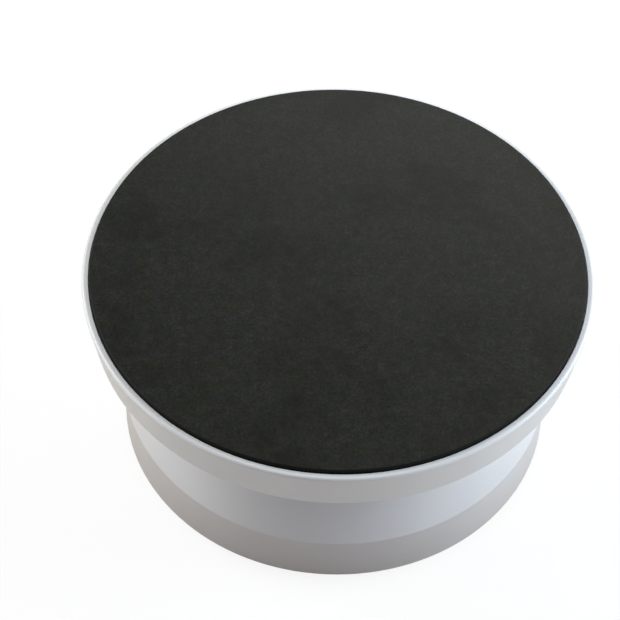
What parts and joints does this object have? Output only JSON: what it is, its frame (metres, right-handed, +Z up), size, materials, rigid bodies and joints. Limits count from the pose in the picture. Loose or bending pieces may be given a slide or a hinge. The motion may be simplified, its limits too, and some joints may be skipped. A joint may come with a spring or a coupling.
{
  "type": "turntable display stand",
  "caption": "Round hand-turned display stand: skirted top disc with a non-slip pad, turning on a caged ball ring and centre spindle over a hollow base with a conical waist.",
  "frame": {"origin": "centre of the footprint, on the surface that the feet rest on", "axes": "+Z up along the spindle; +X towards the first foot; the object is round, so X and Y have no front"},
  "size_m": [0.18, 0.18, 0.08],
  "materials": {
    "pad_foam": "frosted, fine-grained closed-cell pad",
    "adhesive": "thin double-sided film",
    "white_plastic_top": "satin moulded",
    "white_plastic_base": "satin moulded",
    "white_plastic_cover": "moulded, fine matt texture",
    "race_steel": "pressed and turned steel",
    "spindle_steel": "turned steel",
    "screw_steel": "zinc-plated steel",
    "spring_steel": "blackened spring steel",
    "ball_steel": "polished",
    "bush_bronze": "sintered bronze",
    "acetal": "natural acetal",
    "foot_rubber": "moulded rubber"
  },
  "bodies": {
    "base": {"base_shell": "white_plastic_base", "base_cover": "white_plastic_cover", "cover_screws": "screw_steel", "lower_race": "race_steel", "hub_bush": "bush_bronze", "foot_1": "foot_rubber", "foot_2": "foot_rubber", "foot_3": "foot_rubber", "foot_4": "foot_rubber", "foot_5": "foot_rubber"},
    "turntable": {"grip_pad": "pad_foam", "pad_adhesive": "adhesive", "turntable_plate": "white_plastic_top", "upper_race": "race_steel", "spindle": "spindle_steel", "spindle_screws": "screw_steel", "thrust_washer": "acetal", "lower_washer": "race_steel", "retaining_ring": "spring_steel"},
    "bearing_cage": {"ball_cage": "acetal", "bearing_balls": "ball_steel"}
  },
  "joints": [
    {"name": "disc_spin", "type": "hinge", "parent": "base", "child": "turntable", "pos_m": [0, 0, 0.0705], "axis": [0, 0, 1], "continuous": true},
    {"name": "cage_spin", "type": "hinge", "parent": "base", "child": "bearing_cage", "pos_m": [0, 0, 0.0705], "axis": [0, 0, 1], "continuous": true}
  ],
  "couplings": [
    {"joint": "cage_spin", "follows": "disc_spin", "ratio": 0.5}
  ]
}
